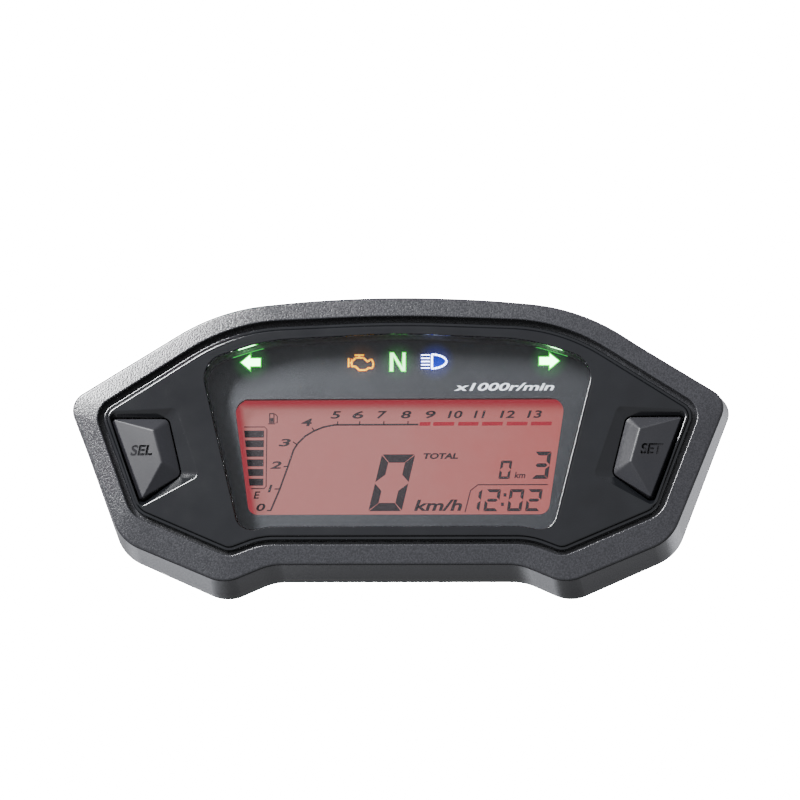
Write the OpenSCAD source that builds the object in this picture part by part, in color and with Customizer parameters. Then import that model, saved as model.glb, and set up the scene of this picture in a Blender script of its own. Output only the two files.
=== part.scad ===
// Instrument cluster of a small motorcycle: an LCD with telltale lamps behind a
// one-piece gloss panel, two push buttons at the tips and a connector at the back.
// The dial looks along -Y, +Z is up, and the origin is the middle of the two
// threaded inserts on the mounting plane. All sizes are millimetres.

/* [Overall] */
// Distance from the mounting plane to the front edge of the rim
front_d = 42; // [41:1:46]
// Depth of the bezel's outer skirt
skirt_d = 15; // [13:0.5:15.5]
// Wall of the bezel's skirt
bezel_wall = 2.2; // [1.8:0.1:2.4]

/* [Panel and window] */
// Groove between the rim and the gloss panel
panel_gap = 1.2; // [0.8:0.1:1.4]
// How far the panel's face lies behind the rim's front edge
panel_back = 0.8; // [0.6:0.1:1.2]
// Thickness of the gloss panel
panel_t = 2.2; // [2:0.1:2.4]
// How far the dial plate lies behind the panel's face
dial_back = 9.2; // [9:0.1:10]
// How far the display glass lies behind the dial plate
lcd_back = 4.4; // [4.2:0.1:4.6]

/* [Buttons] */
// Travel of each push button
button_travel = 1; // [0.6:0.1:1.2]
// Gap between a button's cap and its pocket
button_gap = 0.35; // [0.3:0.05:0.5]
// Radius of a button's stem
stem_r = 2.5; // [2.2:0.1:2.6]
// Radial play of a stem in its guide
stem_play = 0.06; // [0.03:0.01:0.1]

/* [Rear] */
// Distance between the two mounting inserts
mount_spacing = 62; // [56:1:66]
// Radius of the inserts' tapped hole (M6)
insert_hole_r = 2.5; // [2.1:0.1:2.6]
// Depth of the inserts' tapped hole
insert_depth = 10; // [8:1:10]
// Depth of the tub behind the bezel
tub_d = 17; // [16:0.5:18]

/* [Hidden] */

$fn = 48;
corner_steps = 6;
fine_steps = 4;
eps = 0.01;

// Outlines: half of each, from the top middle down the right side, as
// [x, z, corner radius]
rear_half = [[0, 39.4, 300], [43.8, 34.9, 50], [80.8, 10.6, 4.8],
             [67, -26, 11], [41.6, -37.3, 9], [30.2, -32.3, 14]];
opening_half = [[0, 30.6, 290], [40, 29, 45], [73.2, 7.9, 5],
                [63.5, -17.9, 7], [40, -28, 5], [32.1, -25, 17]];
window_half = [[0, 26.4, 160], [31.3, 24.8, 40], [47.7, 19.7, 6],
               [37.5, -22, 4], [30, -20.6, 6]];
lcd_opening_half = [[40.3, 12, 3.2], [36.2, -16.4, 2.5]];
cap_ctrl = [[55.3, 5.8, 1.5], [69.2, 5.9, 1], [61.5, -14.6, 1], [52, -7.8, 1.5]];

// The crest at the front of the skirt is the rear outline drawn in a little
crest_scale = [0.985, 0.927];

// Stations along Y
y_front = -front_d;
y_crest = y_front + 0.7;
y_skirt = y_front + skirt_d;
y_panel = y_front + panel_back;
y_panel_rear = y_panel + panel_t;
seal_t = 0.8;
y_ledge = y_panel_rear + seal_t;
ledge_t = 2;
ledge_w = 1.1;
y_dial = y_panel + dial_back;
dial_t = 0.5;
carrier_t = 1.2;
y_carrier = y_dial + dial_t;
y_carrier_rear = y_carrier + carrier_t;
lens_insert_t = 1;
y_lcd = y_dial + lcd_back;
polariser_t = 0.2;
glass_t = 1.1;
y_pcb = y_front + 21.5;
pcb_t = 1.6;
y_pcb_rear = y_pcb + pcb_t;
flange_t = 2;
y_flange_rear = y_skirt + flange_t;
y_tub_floor = y_flange_rear + tub_d;
wall = 1.8;
tub_inset = 7.8;
gasket_t = 0.5;
crest_r = 0.9;
lip_r = 0.35;
window_t = 1;
window_flange = 1.5;
tray_wall_in = 0.35;
tray_wall_out = 1.4;
guide_r = 5;

// Where things stand in X and Z
stem_x = 58.5;
stem_z = -3;
stem_seal_w = 1.35;
case_screw_half = [[26, 31.5], [74.4, 8.5], [41.8, -31.3]];
pcb_screw_spots = [[-49, 13], [49, 13], [-49, -18.5], [49, -18.5]];
telltale_z = 21.1;
arrow_x = 36.2;
engine_x = -9.4;
neutral_x = -0.4;
beam_x = 8.7;
telltale_spots = [-arrow_x, engine_x, neutral_x, beam_x, arrow_x];
glass_w = 86;
glass_z = [-20, 14.2];
guide_w = 82;
guide_z = [-18.8, 12.6];
connector_z = -12;
connector_size = [31, 14];
connector_wall = 1.5;
connector_pitch = 3;
connector_mouth = -1.5;
plug_depth = 5;
pin_half = 0.32;
pin_row_z = 2.2;
vent_spot = [0, 14];
case_screw_r = 1.2;
case_head_r = 2.5;
case_head_t = 1.7;
case_screw_l = 8;
screw_post_r = 2.5;
pcb_screw_r = 1;
pcb_head_r = 2.1;
pcb_head_t = 1.3;
pcb_screw_l = 6;
pcb_post_r = 3;
screw_play = 0.04;

// ---- Outline functions ----

function unit(v) = v / norm(v);
function both_sides(half) = concat(half,
    [for (i = [len(half) - 1:-1:0]) if (half[i][0] > eps) [-half[i][0], half[i][1], half[i][2]]]);
function wrap(list, i) = list[(i + len(list)) % len(list)];
function at(p) = [p[0], p[1]];

function arc_corner(before, here, after, r, steps) =
    let (u = unit(before - here), v = unit(after - here),
         half = acos(u * v) / 2, centre = here + unit(u + v) * (r / sin(half)),
         start = here + u * (r / tan(half)) - centre,
         stop = here + v * (r / tan(half)) - centre,
         a0 = atan2(start[1], start[0]),
         turn = (atan2(stop[1], stop[0]) - a0 + 540) % 360 - 180)
    [for (k = [0:steps]) centre + r * [cos(a0 + turn * k / steps), sin(a0 + turn * k / steps)]];

function rounded(ctrl, steps = corner_steps) =
    [for (i = [0:len(ctrl) - 1])
        each arc_corner(at(wrap(ctrl, i - 1)), at(ctrl[i]), at(wrap(ctrl, i + 1)),
                        ctrl[i][2], steps)];

// Moves every side of a clockwise outline inwards by d
function inset(ctrl, d, r_min = 0.3) =
    [for (i = [0:len(ctrl) - 1])
        let (a = unit(at(ctrl[i]) - at(wrap(ctrl, i - 1))),
             b = unit(at(wrap(ctrl, i + 1)) - at(ctrl[i])),
             na = [a[1], -a[0]], nb = [b[1], -b[0]],
             shift = (na + nb) * d / (1 + na * nb),
             outside = a[0] * b[1] - a[1] * b[0] < 0,
             r = outside ? ctrl[i][2] - d : ctrl[i][2] + d)
        [ctrl[i][0] + shift[0], ctrl[i][1] + shift[1], max(r, r_min)]];

rear_ctrl = both_sides(rear_half);
crest_ctrl = [for (p = rear_ctrl) [p[0] * crest_scale[0], p[1] * crest_scale[1], p[2]]];
opening_ctrl = both_sides(opening_half);
panel_ctrl = inset(opening_ctrl, panel_gap);
window_ctrl = both_sides(window_half);
lcd_opening_ctrl = both_sides(lcd_opening_half);

// ---- Shape helpers ----

// Extrudes a flat X-Z shape from y0 to y1
module slab(y0, y1) {
    translate([0, y1, 0]) rotate([90, 0, 0]) linear_extrude(y1 - y0) children();
}

module rod(x, z, r, y0, y1) {
    translate([x, y1, z]) rotate([90, 0, 0]) cylinder(r = r, h = y1 - y0);
}

module tube(x, z, r_out, r_in, y0, y1) {
    difference() {
        rod(x, z, r_out, y0, y1);
        rod(x, z, r_in, y0 - 1, y1 + 1);
    }
}

module block(x0, x1, y0, y1, z0, z1) {
    translate([x0, y0, z0]) cube([x1 - x0, y1 - y0, z1 - z0]);
}

module shape(ctrl, steps = corner_steps) {
    polygon(rounded(ctrl, steps));
}

function ring(ctrl, y) = [for (p = rounded(ctrl)) [p[0], y, p[1]]];

// Joins rings of equal length into a closed frame
module frame_of(rings) {
    m = len(rings);
    n = len(rings[0]);
    polyhedron(
        points = [for (r = rings) each r],
        faces = [for (i = [0:m - 1], j = [0:n - 1])
            let (a = i * n, b = ((i + 1) % m) * n, k = (j + 1) % n)
            each [[a + j, b + j, b + k], [a + j, b + k, a + k]]],
        convexity = 8);
}

module mirrored() {
    children();
    mirror([1, 0, 0]) children();
}

// ---- Front ----

module front_bezel() color("dimgray") {
    inner_rear = inset(rear_ctrl, bezel_wall);
    inner_front = inset(crest_ctrl, bezel_wall);
    ledge_ctrl = inset(panel_ctrl, ledge_w);
    y_post = y_ledge + ledge_t + 1;
    difference() {
        union() {
            frame_of([
                ring(inset(crest_ctrl, crest_r), y_crest - 0.35),
                ring(inset(crest_ctrl, crest_r / 4), y_crest - 0.1),
                ring(crest_ctrl, y_crest + 0.5),
                ring(rear_ctrl, y_skirt),
                ring(inner_rear, y_skirt),
                ring(inner_front, y_post),
                ring(ledge_ctrl, y_ledge + ledge_t),
                ring(ledge_ctrl, y_ledge),
                ring(opening_ctrl, y_ledge),
                ring(opening_ctrl, y_front + lip_r),
                ring(inset(opening_ctrl, -lip_r), y_front)]);
            mirrored() for (s = case_screw_half) rod(s[0], s[1], screw_post_r, y_post, y_skirt);
        }
        mirrored() for (s = case_screw_half)
            rod(s[0], s[1], case_screw_r + screw_play, y_skirt - case_screw_l + 1, y_skirt + 1);
    }
}

module gloss_panel() color("black") {
    difference() {
        slab(y_panel, y_panel_rear) shape(panel_ctrl);
        slab(y_panel - 1, y_panel + window_t) shape(window_ctrl);
        slab(y_panel + window_t - eps, y_panel_rear + 1) shape(inset(window_ctrl, -window_flange));
        mirrored() slab(y_panel - 1, y_panel_rear + 1) shape(inset(cap_ctrl, -button_gap));
    }
}

module window_lens() color("white", 0.4) {
    slab(y_panel, y_panel + window_t) shape(inset(window_ctrl, 0.02));
    slab(y_panel + window_t, y_panel_rear) shape(inset(window_ctrl, 0.02 - window_flange));
}

module panel_seal() color("black") {
    slab(y_panel_rear, y_ledge) difference() {
        shape(inset(panel_ctrl, 0.1));
        shape(inset(panel_ctrl, ledge_w - 0.1));
    }
}

// ---- Dial ----

module mask_carrier() color("darkslategray") {
    wall_in = inset(window_ctrl, -tray_wall_in);
    wall_out = inset(window_ctrl, -tray_wall_out);
    button_wing = [[40, 8], [64, 8], [67.5, 4], [63, -9], [58, -13], [36, -13]];
    upper_wing = [[44, 20], [57, 18], [57, 4], [44, 4]];
    lower_wing = [[34, -8], [54, -8], [53.5, -17.5], [51, -23], [34, -23]];
    difference() {
        union() {
            slab(y_panel_rear + 0.1, y_carrier) difference() {
                shape(wall_out);
                shape(wall_in);
            }
            slab(y_carrier, y_carrier_rear) union() {
                shape(wall_out);
                mirrored() polygon(button_wing);
                mirrored() polygon(upper_wing);
                mirrored() polygon(lower_wing);
            }
            mirrored() rod(stem_x, stem_z, guide_r, y_panel_rear + 3.4, y_carrier_rear);
            for (s = pcb_screw_spots) rod(s[0], s[1], pcb_post_r, y_carrier, y_pcb);
        }
        slab(y_carrier - 1, y_carrier_rear + 1) shape(inset(lcd_opening_ctrl, -0.3));
        mirrored() rod(stem_x, stem_z, stem_r + stem_play, y_panel, y_pcb);
        mirrored() rod(stem_x, stem_z, stem_r + stem_seal_w + 0.05, y_carrier - 1.2, y_pcb);
        for (s = pcb_screw_spots)
            rod(s[0], s[1], pcb_screw_r + screw_play, y_pcb - pcb_screw_l, y_pcb + 1);
        for (x = telltale_spots)
            slab(y_carrier - 1, y_carrier_rear + 1) translate([x, telltale_z])
                square([telltale_w(x) + 1.2, 7], center = true);
    }
}

function telltale_w(x) = abs(x) < 2 ? 6 : 8;

module arrow_icon() {
    polygon([[-2.8, 0], [0, 2.4], [0, 1.2], [2.4, 1.2], [2.4, -1.2], [0, -1.2], [0, -2.4]]);
}

module engine_icon() {
    polygon([[-2.6, 1.3], [-1.2, 1.3], [-0.6, 2], [1.6, 2], [2, 1.2], [2.9, 1.2], [2.9, -1.6],
             [1.4, -2.2], [-1, -2.2], [-1.6, -1.5], [-2.6, -1.5]]);
}

module neutral_icon() {
    polygon([[-2.2, -2.6], [-2.2, 2.6], [-0.9, 2.6], [0.9, -0.6], [0.9, 2.6], [2.2, 2.6],
             [2.2, -2.6], [0.9, -2.6], [-0.9, 0.6], [-0.9, -2.6]]);
}

module beam_icon() {
    intersection() {
        translate([1.1, 0]) circle(r = 2.1);
        translate([0.3, -3]) square([4, 6]);
    }
    for (k = [-2:2]) translate([-1.8, k * 0.92]) square([3, 0.42], center = true);
}

module icons() {
    translate([-arrow_x, telltale_z]) arrow_icon();
    mirror([1, 0]) translate([-arrow_x, telltale_z]) arrow_icon();
    translate([engine_x, telltale_z]) engine_icon();
    translate([neutral_x, telltale_z]) neutral_icon();
    translate([beam_x, telltale_z]) beam_icon();
}

module dial_plate() color("dimgray") {
    slab(y_dial, y_carrier) difference() {
        shape(inset(window_ctrl, -0.3));
        shape(lcd_opening_ctrl);
        icons();
    }
}

// A translucent tile that fills one window of the carrier behind its icon
module icon_tile(x) {
    slab(y_carrier, y_carrier + lens_insert_t) translate([x, telltale_z])
        square([telltale_w(x) + 1.1, 6.9], center = true);
}

module turn_signal_lenses() color("limegreen") mirrored() icon_tile(arrow_x);

module engine_lens() color("orange") icon_tile(engine_x);

module neutral_lens() color("lime") icon_tile(neutral_x);

module high_beam_lens() color("dodgerblue") icon_tile(beam_x);

module telltale_light_box() color("white") {
    well_half = 2.9;
    box_wall = 1;
    low = telltale_z - well_half - box_wall;
    slab(y_carrier_rear, y_pcb) difference() {
        intersection() {
            union() {
                mirrored() translate([arrow_x - 5, low]) square([10, 2 * (well_half + box_wall)]);
                translate([engine_x - 5, low])
                    square([beam_x - engine_x + 10, 2 * (well_half + box_wall)]);
                translate([-arrow_x, low]) square([2 * arrow_x, box_wall]);
            }
            shape(inset(rear_ctrl, 10));
        }
        for (x = telltale_spots) translate([x, telltale_z])
            square([telltale_w(x), 2 * well_half], center = true);
    }
}

module telltale_leds() color("lightyellow") {
    for (x = telltale_spots) block(x - 1.4, x + 1.4, y_pcb - 1.1, y_pcb, telltale_z - 1, telltale_z + 1);
}

// ---- Display ----

module lcd_foam_gasket() color("black") {
    slab(y_carrier_rear, y_lcd) difference() {
        translate([-glass_w / 2 + 0.5, glass_z[0] + 2.2])
            square([glass_w - 1, glass_z[1] - glass_z[0] - 4.2]);
        shape(inset(lcd_opening_ctrl, -0.6));
    }
}

module lcd_layer(y, t, margin) {
    block(-glass_w / 2 + margin, glass_w / 2 - margin, y, y + t, glass_z[0] + margin,
          glass_z[1] - margin);
}

module lcd_front_polariser() color("rosybrown", 0.6) lcd_layer(y_lcd, polariser_t, 1.8);

module lcd_front_glass() color("lightpink", 0.5) lcd_layer(y_lcd + polariser_t, glass_t, 1.6);

module lcd_rear_glass() color("lightpink", 0.5) lcd_layer(y_lcd + polariser_t + glass_t, glass_t, 0);

module lcd_rear_polariser() color("rosybrown", 0.6)
    lcd_layer(y_lcd + polariser_t + 2 * glass_t, polariser_t, 1.6);

module lcd_pins() color("silver") {
    rear_glass_back = y_lcd + polariser_t + 2 * glass_t;
    for (i = [0:19], z = [glass_z[0] + 0.5, glass_z[1] - 0.5])
        block(-38.3 + i * 4, -37.7 + i * 4, rear_glass_back, y_pcb, z - 0.2, z + 0.2);
}

y_backlight = y_lcd + 2 * polariser_t + 2 * glass_t;

module guide_layer(y, t) {
    block(-guide_w / 2, guide_w / 2, y, y + t, guide_z[0], guide_z[1]);
}

module diffuser_sheet() color("white", 0.8) guide_layer(y_backlight + 0.1, 0.25);

module light_guide() color("mistyrose", 0.7) guide_layer(y_backlight + 0.4, 2);

module reflector_sheet() color("whitesmoke") guide_layer(y_backlight + 2.45, 0.15);

module backlight_frame() color("white") {
    difference() {
        block(-guide_w / 2 - 4.4, guide_w / 2 + 4.4, y_backlight, y_pcb - 0.05, guide_z[0] - 0.2,
              guide_z[1] + 0.2);
        block(-guide_w / 2 - 0.05, guide_w / 2 + 0.05, y_backlight - 1, y_pcb - 0.9,
              guide_z[0] - 0.05, guide_z[1] + 0.05);
        for (z = [-15.3:6:9], side = [-1, 1])
            block(side * (guide_w / 2 + 1.5) - 1.6, side * (guide_w / 2 + 1.5) + 1.6,
                  y_backlight + 0.4, y_pcb + 1, z - 2.1, z + 2.1);
    }
}

module backlight_leds() color("salmon") {
    for (z = [-15.3:6:9], side = [-1, 1])
        block(side * (guide_w / 2 + 1.4) - 1.1, side * (guide_w / 2 + 1.4) + 1.1,
              y_backlight + 0.7, y_pcb, z - 1.8, z + 1.8);
}

// ---- Circuit board ----

pcb_ctrl = inset(rear_ctrl, tub_inset + wall + 0.5, 2);

module main_pcb() color("darkgreen") {
    difference() {
        slab(y_pcb, y_pcb_rear) shape(pcb_ctrl);
        for (s = pcb_screw_spots) rod(s[0], s[1], pcb_screw_r + 0.3, y_pcb - 1, y_pcb_rear + 1);
    }
}

// A chip with gull-wing legs along two or four sides, on the board's rear face
module chip(x, z, w, h, t, legs, four_sides) {
    translate([x, y_pcb_rear, z]) {
        block(-w / 2, w / 2, 0.15, t, -h / 2, h / 2);
        for (i = [0:legs - 1]) {
            step = (w - 2) / (legs - 1);
            for (side = [-1, 1])
                block(-w / 2 + 0.8 + i * step, -w / 2 + 1.2 + i * step, 0, 0.6,
                      side * (h / 2 + 0.3) - 0.7, side * (h / 2 + 0.3) + 0.7);
            if (four_sides) for (side = [-1, 1])
                block(side * (w / 2 + 0.3) - 0.7, side * (w / 2 + 0.3) + 0.7, 0, 0.6,
                      -h / 2 + 0.8 + i * step, -h / 2 + 1.2 + i * step);
        }
    }
}

module microcontroller() color("black") chip(-12, 6, 12, 12, 1.6, 12, true);

module lcd_driver_chip() color("black") chip(14, 4, 9, 9, 1.5, 9, true);

module voltage_regulator() color("black") {
    translate([35, y_pcb_rear, -12]) {
        block(-3.3, 3.3, 0.1, 2.4, -3, 3);
        block(-2.7, 2.7, 0, 0.6, 3, 4.6);
        for (x = [-2.3, 2.3]) block(x - 0.4, x + 0.4, 0, 0.6, -5.2, -2.9);
    }
}

module capacitors() color("slategray") {
    for (s = [[-40, -10, 4], [-30, -12, 3.2], [31, 12, 3.2]]) {
        block(s[0] - s[2] - 0.2, s[0] + s[2] + 0.2, y_pcb_rear, y_pcb_rear + 1, s[1] - s[2] - 0.2,
              s[1] + s[2] + 0.2);
        rod(s[0], s[1], s[2], y_pcb_rear + 0.9, y_pcb_rear + 6.5);
    }
}

module quartz_crystal() color("silver") {
    hull() for (x = [-24.8, -31.2]) rod(x, 6, 1.9, y_pcb_rear, y_pcb_rear + 3.4);
}

module chip_resistors() color("black") {
    for (i = [0:5], j = [0:1])
        block(-6 + i * 4, -4 + i * 4, y_pcb_rear, y_pcb_rear + 0.5, 16 + j * 3.5, 17.2 + j * 3.5);
    for (i = [0:3])
        block(48, 50, y_pcb_rear, y_pcb_rear + 0.5, -4 + i * 3, -2.8 + i * 3);
}

// ---- Buttons ----

switch_h = 3.6;
plunger_r = 1.7;
y_switch = y_pcb - switch_h;
plunger_out = 1.3;
y_plunger = y_switch - plunger_out;
plunger_in = 1.1;

module tactile_switches() color("gray") mirrored() difference() {
    block(stem_x - 3.1, stem_x + 3.1, y_switch, y_pcb, stem_z - 3.1, stem_z + 3.1);
    rod(stem_x, stem_z, plunger_r + stem_play, y_switch - 1,
        y_switch + plunger_in + button_travel + 0.3);
}

module switch_plunger() {
    rod(stem_x, stem_z, plunger_r, y_plunger, y_switch + plunger_in);
}

module sel_switch_plunger() color("black") mirror([1, 0, 0]) switch_plunger();

module set_switch_plunger() color("black") switch_plunger();

cap_rear = y_panel_rear + 1.2;
edge_r = 0.45;
ridge = [[58.6, 2.4], [56.5, -5.2]];
outer_tips = [[68.3, 5.4], [61.1, -13.6]];
ridge_y = y_front - 0.5;
outer_edge_y = y_panel - 0.1;
inner_edge_y = y_panel + 0.9;

module cap_point(x, z, y) {
    translate([x, y, z]) sphere(r = edge_r, $fn = 16);
}

// A wedge cap: the broad face falls from the ridge to the outer edge
module button() {
    hull() {
        slab(cap_rear - 0.5, cap_rear) shape(cap_ctrl, fine_steps);
        slab(inner_edge_y + 0.4, inner_edge_y + 0.5) shape(cap_ctrl, fine_steps);
        for (p = outer_tips) cap_point(p[0], p[1], outer_edge_y + edge_r);
        for (p = ridge) cap_point(p[0], p[1], ridge_y + edge_r);
    }
    rod(stem_x, stem_z, stem_r, cap_rear - 0.5, y_plunger);
}

module sel_button() color("black") mirror([1, 0, 0]) button();

module set_button() color("black") button();

module button_seals() color("darkred") mirrored()
    tube(stem_x, stem_z, stem_r + stem_seal_w, stem_r + stem_play, y_carrier - 1.15, y_carrier_rear);

// ---- Rear ----

tub_ctrl = inset(rear_ctrl, tub_inset, 4);

module rear_housing() color("black") {
    boss_r = 7;
    difference() {
        union() {
            slab(y_skirt + gasket_t, y_flange_rear) shape(inset(rear_ctrl, 0.3));
            slab(y_skirt - 1.5, y_tub_floor) shape(tub_ctrl);
            mirrored() rod(mount_spacing / 2, 0, boss_r, y_tub_floor - 1, 0);
            mirrored() {
                block(mount_spacing / 2 - 1, mount_spacing / 2 + 1, y_tub_floor - 1, -4, 0, 17);
                block(mount_spacing / 2 - 1, mount_spacing / 2 + 1, y_tub_floor - 1, -4, -17, 0);
                block(mount_spacing / 2, 52, y_tub_floor - 1, -4, -1, 1);
            }
            tube(vent_spot[0], vent_spot[1], 5.5, 4, y_tub_floor - 1, y_tub_floor + 1.5);
        }
        difference() {
            slab(y_skirt - 2, y_tub_floor - wall) shape(inset(rear_ctrl, tub_inset + wall, 2.2));
            for (s = pcb_screw_spots)
                tube(s[0], s[1], 4.2, 2.9, y_pcb_rear, y_tub_floor);
            mirrored() rod(mount_spacing / 2, 0, boss_r, y_tub_floor - 5, y_tub_floor);
        }
        mirrored() rod(mount_spacing / 2, 0, 4, -insert_depth - 1, 1);
        mirrored() for (s = case_screw_half) rod(s[0], s[1], case_screw_r + 0.4, y_skirt - 3, 1);
        block(-connector_size[0] / 2 + 0.2, connector_size[0] / 2 - 0.2, y_tub_floor - wall - 1,
              y_tub_floor + 1, connector_z - connector_size[1] / 2 + 0.2,
              connector_z + connector_size[1] / 2 - 0.2);
        rod(vent_spot[0], vent_spot[1], 1.5, y_tub_floor - wall - 1, y_tub_floor + 1);
    }
}

module housing_gasket() color("darkred") {
    slab(y_skirt, y_skirt + gasket_t) difference() {
        shape(inset(rear_ctrl, 0.5));
        shape(inset(rear_ctrl, tub_inset - 0.1, 3.8));
        mirrored() for (s = case_screw_half) translate(s) circle(r = case_screw_r + 0.4);
    }
}

module mount_inserts() color("gold") mirrored() difference() {
    rod(mount_spacing / 2, 0, 3.98, -insert_depth - 1, 0);
    rod(mount_spacing / 2, 0, insert_hole_r, -insert_depth, 1);
}

module connector_shell() color("whitesmoke") {
    w = connector_size[0];
    h = connector_size[1];
    floor_y = y_tub_floor - 3.5;
    hole_half = pin_half + 0.08;
    difference() {
        union() {
            block(-w / 2 + 0.25, w / 2 - 0.25, floor_y, connector_mouth,
                  connector_z - h / 2 + 0.25, connector_z + h / 2 - 0.25);
            block(-w / 2 - 1.5, w / 2 + 1.5, y_tub_floor, y_tub_floor + 1.2,
                  connector_z - h / 2 - 1.5, connector_z + h / 2 + 1.5);
            block(-3, 3, y_tub_floor, connector_mouth - 1, connector_z + h / 2 - 1,
                  connector_z + h / 2 + 1.6);
        }
        block(-w / 2 + connector_wall, w / 2 - connector_wall, floor_y + 1.5, 1,
              connector_z - h / 2 + connector_wall, connector_z + h / 2 - connector_wall);
        for (i = [-4:4], side = [-1, 1])
            block(i * connector_pitch - hole_half, i * connector_pitch + hole_half,
                  floor_y - 1, floor_y + 2,
                  connector_z + side * pin_row_z - hole_half,
                  connector_z + side * pin_row_z + hole_half);
    }
}

module connector_pins() color("gold") {
    for (i = [-4:4], side = [-1, 1])
        block(i * connector_pitch - pin_half, i * connector_pitch + pin_half,
              y_pcb_rear, connector_mouth - plug_depth,
              connector_z + side * pin_row_z - pin_half, connector_z + side * pin_row_z + pin_half);
}

// A pan-head screw that enters from the rear, with a cross recess
module screw(x, z, r, head_r, head_t, y_seat, length) {
    difference() {
        union() {
            rod(x, z, head_r, y_seat, y_seat + head_t);
            rod(x, z, r, y_seat - length, y_seat + eps);
        }
        block(x - head_r * 0.55, x + head_r * 0.55, y_seat + head_t * 0.45, y_seat + head_t + 1,
              z - 0.25, z + 0.25);
        block(x - 0.25, x + 0.25, y_seat + head_t * 0.45, y_seat + head_t + 1,
              z - head_r * 0.55, z + head_r * 0.55);
    }
}

module case_screws() color("silver") mirrored() for (s = case_screw_half)
    screw(s[0], s[1], case_screw_r, case_head_r, case_head_t, y_flange_rear, case_screw_l);

module pcb_screws() color("silver") for (s = pcb_screw_spots)
    screw(s[0], s[1], pcb_screw_r, pcb_head_r, pcb_head_t, y_pcb_rear, pcb_screw_l);

module vent_plug() color("dimgray") {
    x = vent_spot[0];
    difference() {
        rod(x, vent_spot[1], 3.9, y_tub_floor + 0.4, y_tub_floor + 2.2);
        for (a = [0:90:270])
            rod(x + 2.2 * cos(a), vent_spot[1] + 2.2 * sin(a), 0.5, y_tub_floor, y_tub_floor + 3);
    }
}

module vent_membrane() color("white")
    rod(vent_spot[0], vent_spot[1], 3.8, y_tub_floor + 0.05, y_tub_floor + 0.35);

front_bezel();
gloss_panel();
window_lens();
panel_seal();
mask_carrier();
dial_plate();
turn_signal_lenses();
engine_lens();
neutral_lens();
high_beam_lens();
telltale_light_box();
telltale_leds();
lcd_foam_gasket();
lcd_front_polariser();
lcd_front_glass();
lcd_rear_glass();
lcd_rear_polariser();
lcd_pins();
diffuser_sheet();
light_guide();
reflector_sheet();
backlight_frame();
backlight_leds();
main_pcb();
microcontroller();
lcd_driver_chip();
voltage_regulator();
capacitors();
quartz_crystal();
chip_resistors();
tactile_switches();
sel_button();
set_button();
sel_switch_plunger();
set_switch_plunger();
button_seals();
rear_housing();
housing_gasket();
mount_inserts();
connector_shell();
connector_pins();
case_screws();
pcb_screws();
vent_plug();
vent_membrane();
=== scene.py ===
"""Looks of the motorcycle instrument cluster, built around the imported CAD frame.

Outlines and places are in millimetres in the part's own frame (+X right, +Z up, the dial faces
-Y), and become metres when a piece is made. Depths come from the frame's own boxes.
"""
import math

import bmesh
import bpy
from mathutils import Matrix, Quaternion, Vector
from mathutils.geometry import tessellate_polygon


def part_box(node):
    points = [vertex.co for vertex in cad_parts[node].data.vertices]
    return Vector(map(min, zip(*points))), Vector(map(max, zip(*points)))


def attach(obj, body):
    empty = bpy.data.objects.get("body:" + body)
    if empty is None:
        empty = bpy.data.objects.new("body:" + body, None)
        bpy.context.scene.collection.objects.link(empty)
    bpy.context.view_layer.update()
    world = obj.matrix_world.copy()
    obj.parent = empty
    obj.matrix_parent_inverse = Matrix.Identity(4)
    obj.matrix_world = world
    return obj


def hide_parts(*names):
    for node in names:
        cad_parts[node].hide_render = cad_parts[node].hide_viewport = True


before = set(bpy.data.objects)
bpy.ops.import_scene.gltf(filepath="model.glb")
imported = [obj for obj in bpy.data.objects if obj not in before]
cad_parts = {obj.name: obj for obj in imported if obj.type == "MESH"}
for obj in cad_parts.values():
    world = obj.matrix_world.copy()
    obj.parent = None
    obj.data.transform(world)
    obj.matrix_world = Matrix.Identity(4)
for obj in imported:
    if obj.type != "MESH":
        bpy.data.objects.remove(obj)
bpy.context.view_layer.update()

MM = 0.001


def span(node, axis):
    """Lowest and highest coordinate of a CAD node along one axis, in millimetres."""
    low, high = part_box(node)
    return low[axis] / MM, high[axis] / MM


# ---- Stations along Y, from the frame ----

FRONT, SKIRT = span("front_bezel", 1)
PANEL, PANEL_REAR = span("gloss_panel", 1)
DIAL, DIAL_REAR = span("dial_plate", 1)
LCD = span("lcd_front_polariser", 1)[0]
CAP_FRONT = span("set_button", 1)[0]
LEDGE = span("panel_seal", 1)[1]
PLUNGER = span("set_switch_plunger", 1)[0]

# ---- Outlines: the right half of each, from the top down, as (x, z, corner radius) ----

REAR_HALF = [(0, 39.4, 300), (43.8, 34.9, 50), (80.8, 10.6, 4.8),
             (67, -26, 11), (41.6, -37.3, 9), (30.2, -32.3, 14)]
CREST_SCALE = (0.985, 0.927)
OPENING_HALF = [(0, 30.6, 290), (40, 29, 45), (73.2, 7.9, 5),
                (63.5, -17.9, 7), (40, -28, 5), (32.1, -25, 17)]
PANEL_GAP, LEDGE_WIDTH = 1.2, 1.1
WINDOW_SEAT, WINDOW_FLANGE = 1, 1.5
WINDOW_HALF = [(0, 26.4, 160), (31.3, 24.8, 40), (47.7, 19.7, 6),
               (37.5, -22, 4), (30, -20.6, 6)]
LCD_OPENING_HALF = [(40.3, 12, 3.2), (36.2, -16.4, 2.5)]
LCD_SIDE_LEAN = (40.3 - 36.2) / (12 + 16.4)
CAP = [(55.3, 5.8, 1.5), (69.2, 5.9, 1), (61.5, -14.6, 1), (52, -7.8, 1.5)]
POCKET = [(53.4, 8, 1.2), (69.6, 7.1, 1.2), (61.7, -15.7, 1.2), (47.9, -8.2, 1.4)]
CAP_GAP = 0.35
RIDGE = [(58.6, 2.4), (56.5, -5.2)]
OUTER_TIPS = [(67.9, 5.2), (60.9, -13.2)]
STEM = (58.5, -3)
LEGEND_SPOT = (61.3, -2.1)
CASE_SCREWS = [(26, 31.5), (74.4, 8.5), (41.8, -31.3)]
TELLTALE_Z = 21.1
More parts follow.
